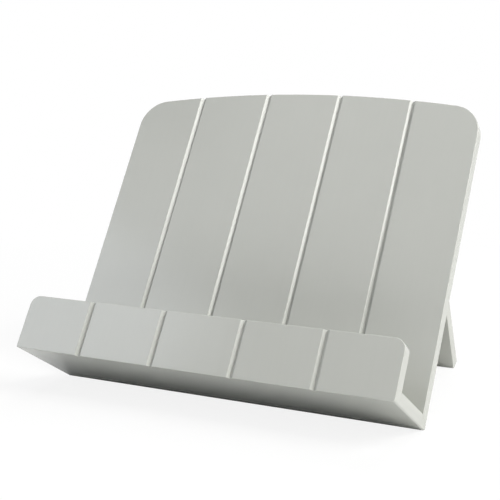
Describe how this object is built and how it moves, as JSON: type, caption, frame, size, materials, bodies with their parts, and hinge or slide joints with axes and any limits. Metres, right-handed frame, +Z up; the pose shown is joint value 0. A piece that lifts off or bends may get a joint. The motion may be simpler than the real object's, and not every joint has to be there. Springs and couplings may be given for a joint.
{
  "type": "cookbook stand",
  "caption": "Folding wooden cookbook stand: an arched, V-grooved back board with a shelf and a low lip for the book, propped on a hinged leg that folds flat behind the board.",
  "frame": {"origin": "centre of the stand's box at table level, with the leg open", "axes": "+X to the reader's right along the shelf, +Y away from the reader, +Z up from the table"},
  "size_m": [0.34, 0.2677, 0.2558],
  "materials": {
    "grey_paint": "satin grey paint on hardwood",
    "brass": "polished, lightly tarnished",
    "beech": "bare turned dowel"
  },
  "bodies": {
    "stand": {"back_board": "grey_paint", "shelf": "grey_paint", "front_lip": "grey_paint", "board_dowel_1": "beech", "board_dowel_2": "beech", "board_dowel_3": "beech", "board_dowel_4": "beech", "board_dowel_5": "beech", "lip_dowel_1": "beech", "lip_dowel_2": "beech", "lip_dowel_3": "beech", "lip_dowel_4": "beech", "lip_dowel_5": "beech", "hinge_board_leaf_left": "brass", "hinge_board_leaf_right": "brass", "hinge_pin_left": "brass", "hinge_pin_right": "brass", "board_leaf_screw_1": "brass", "board_leaf_screw_2": "brass", "board_leaf_screw_3": "brass", "board_leaf_screw_4": "brass"},
    "leg": {"prop_leg": "grey_paint", "hinge_leg_leaf_left": "brass", "hinge_leg_leaf_right": "brass", "leg_leaf_screw_1": "brass", "leg_leaf_screw_2": "brass", "leg_leaf_screw_3": "brass", "leg_leaf_screw_4": "brass"}
  },
  "joints": [
    {"name": "leg_hinge", "type": "hinge", "parent": "stand", "child": "leg", "pos_m": [0, 0.03956, 0.16174], "axis": [-1, 0, 0], "range_deg": [0, 59]}
  ]
}
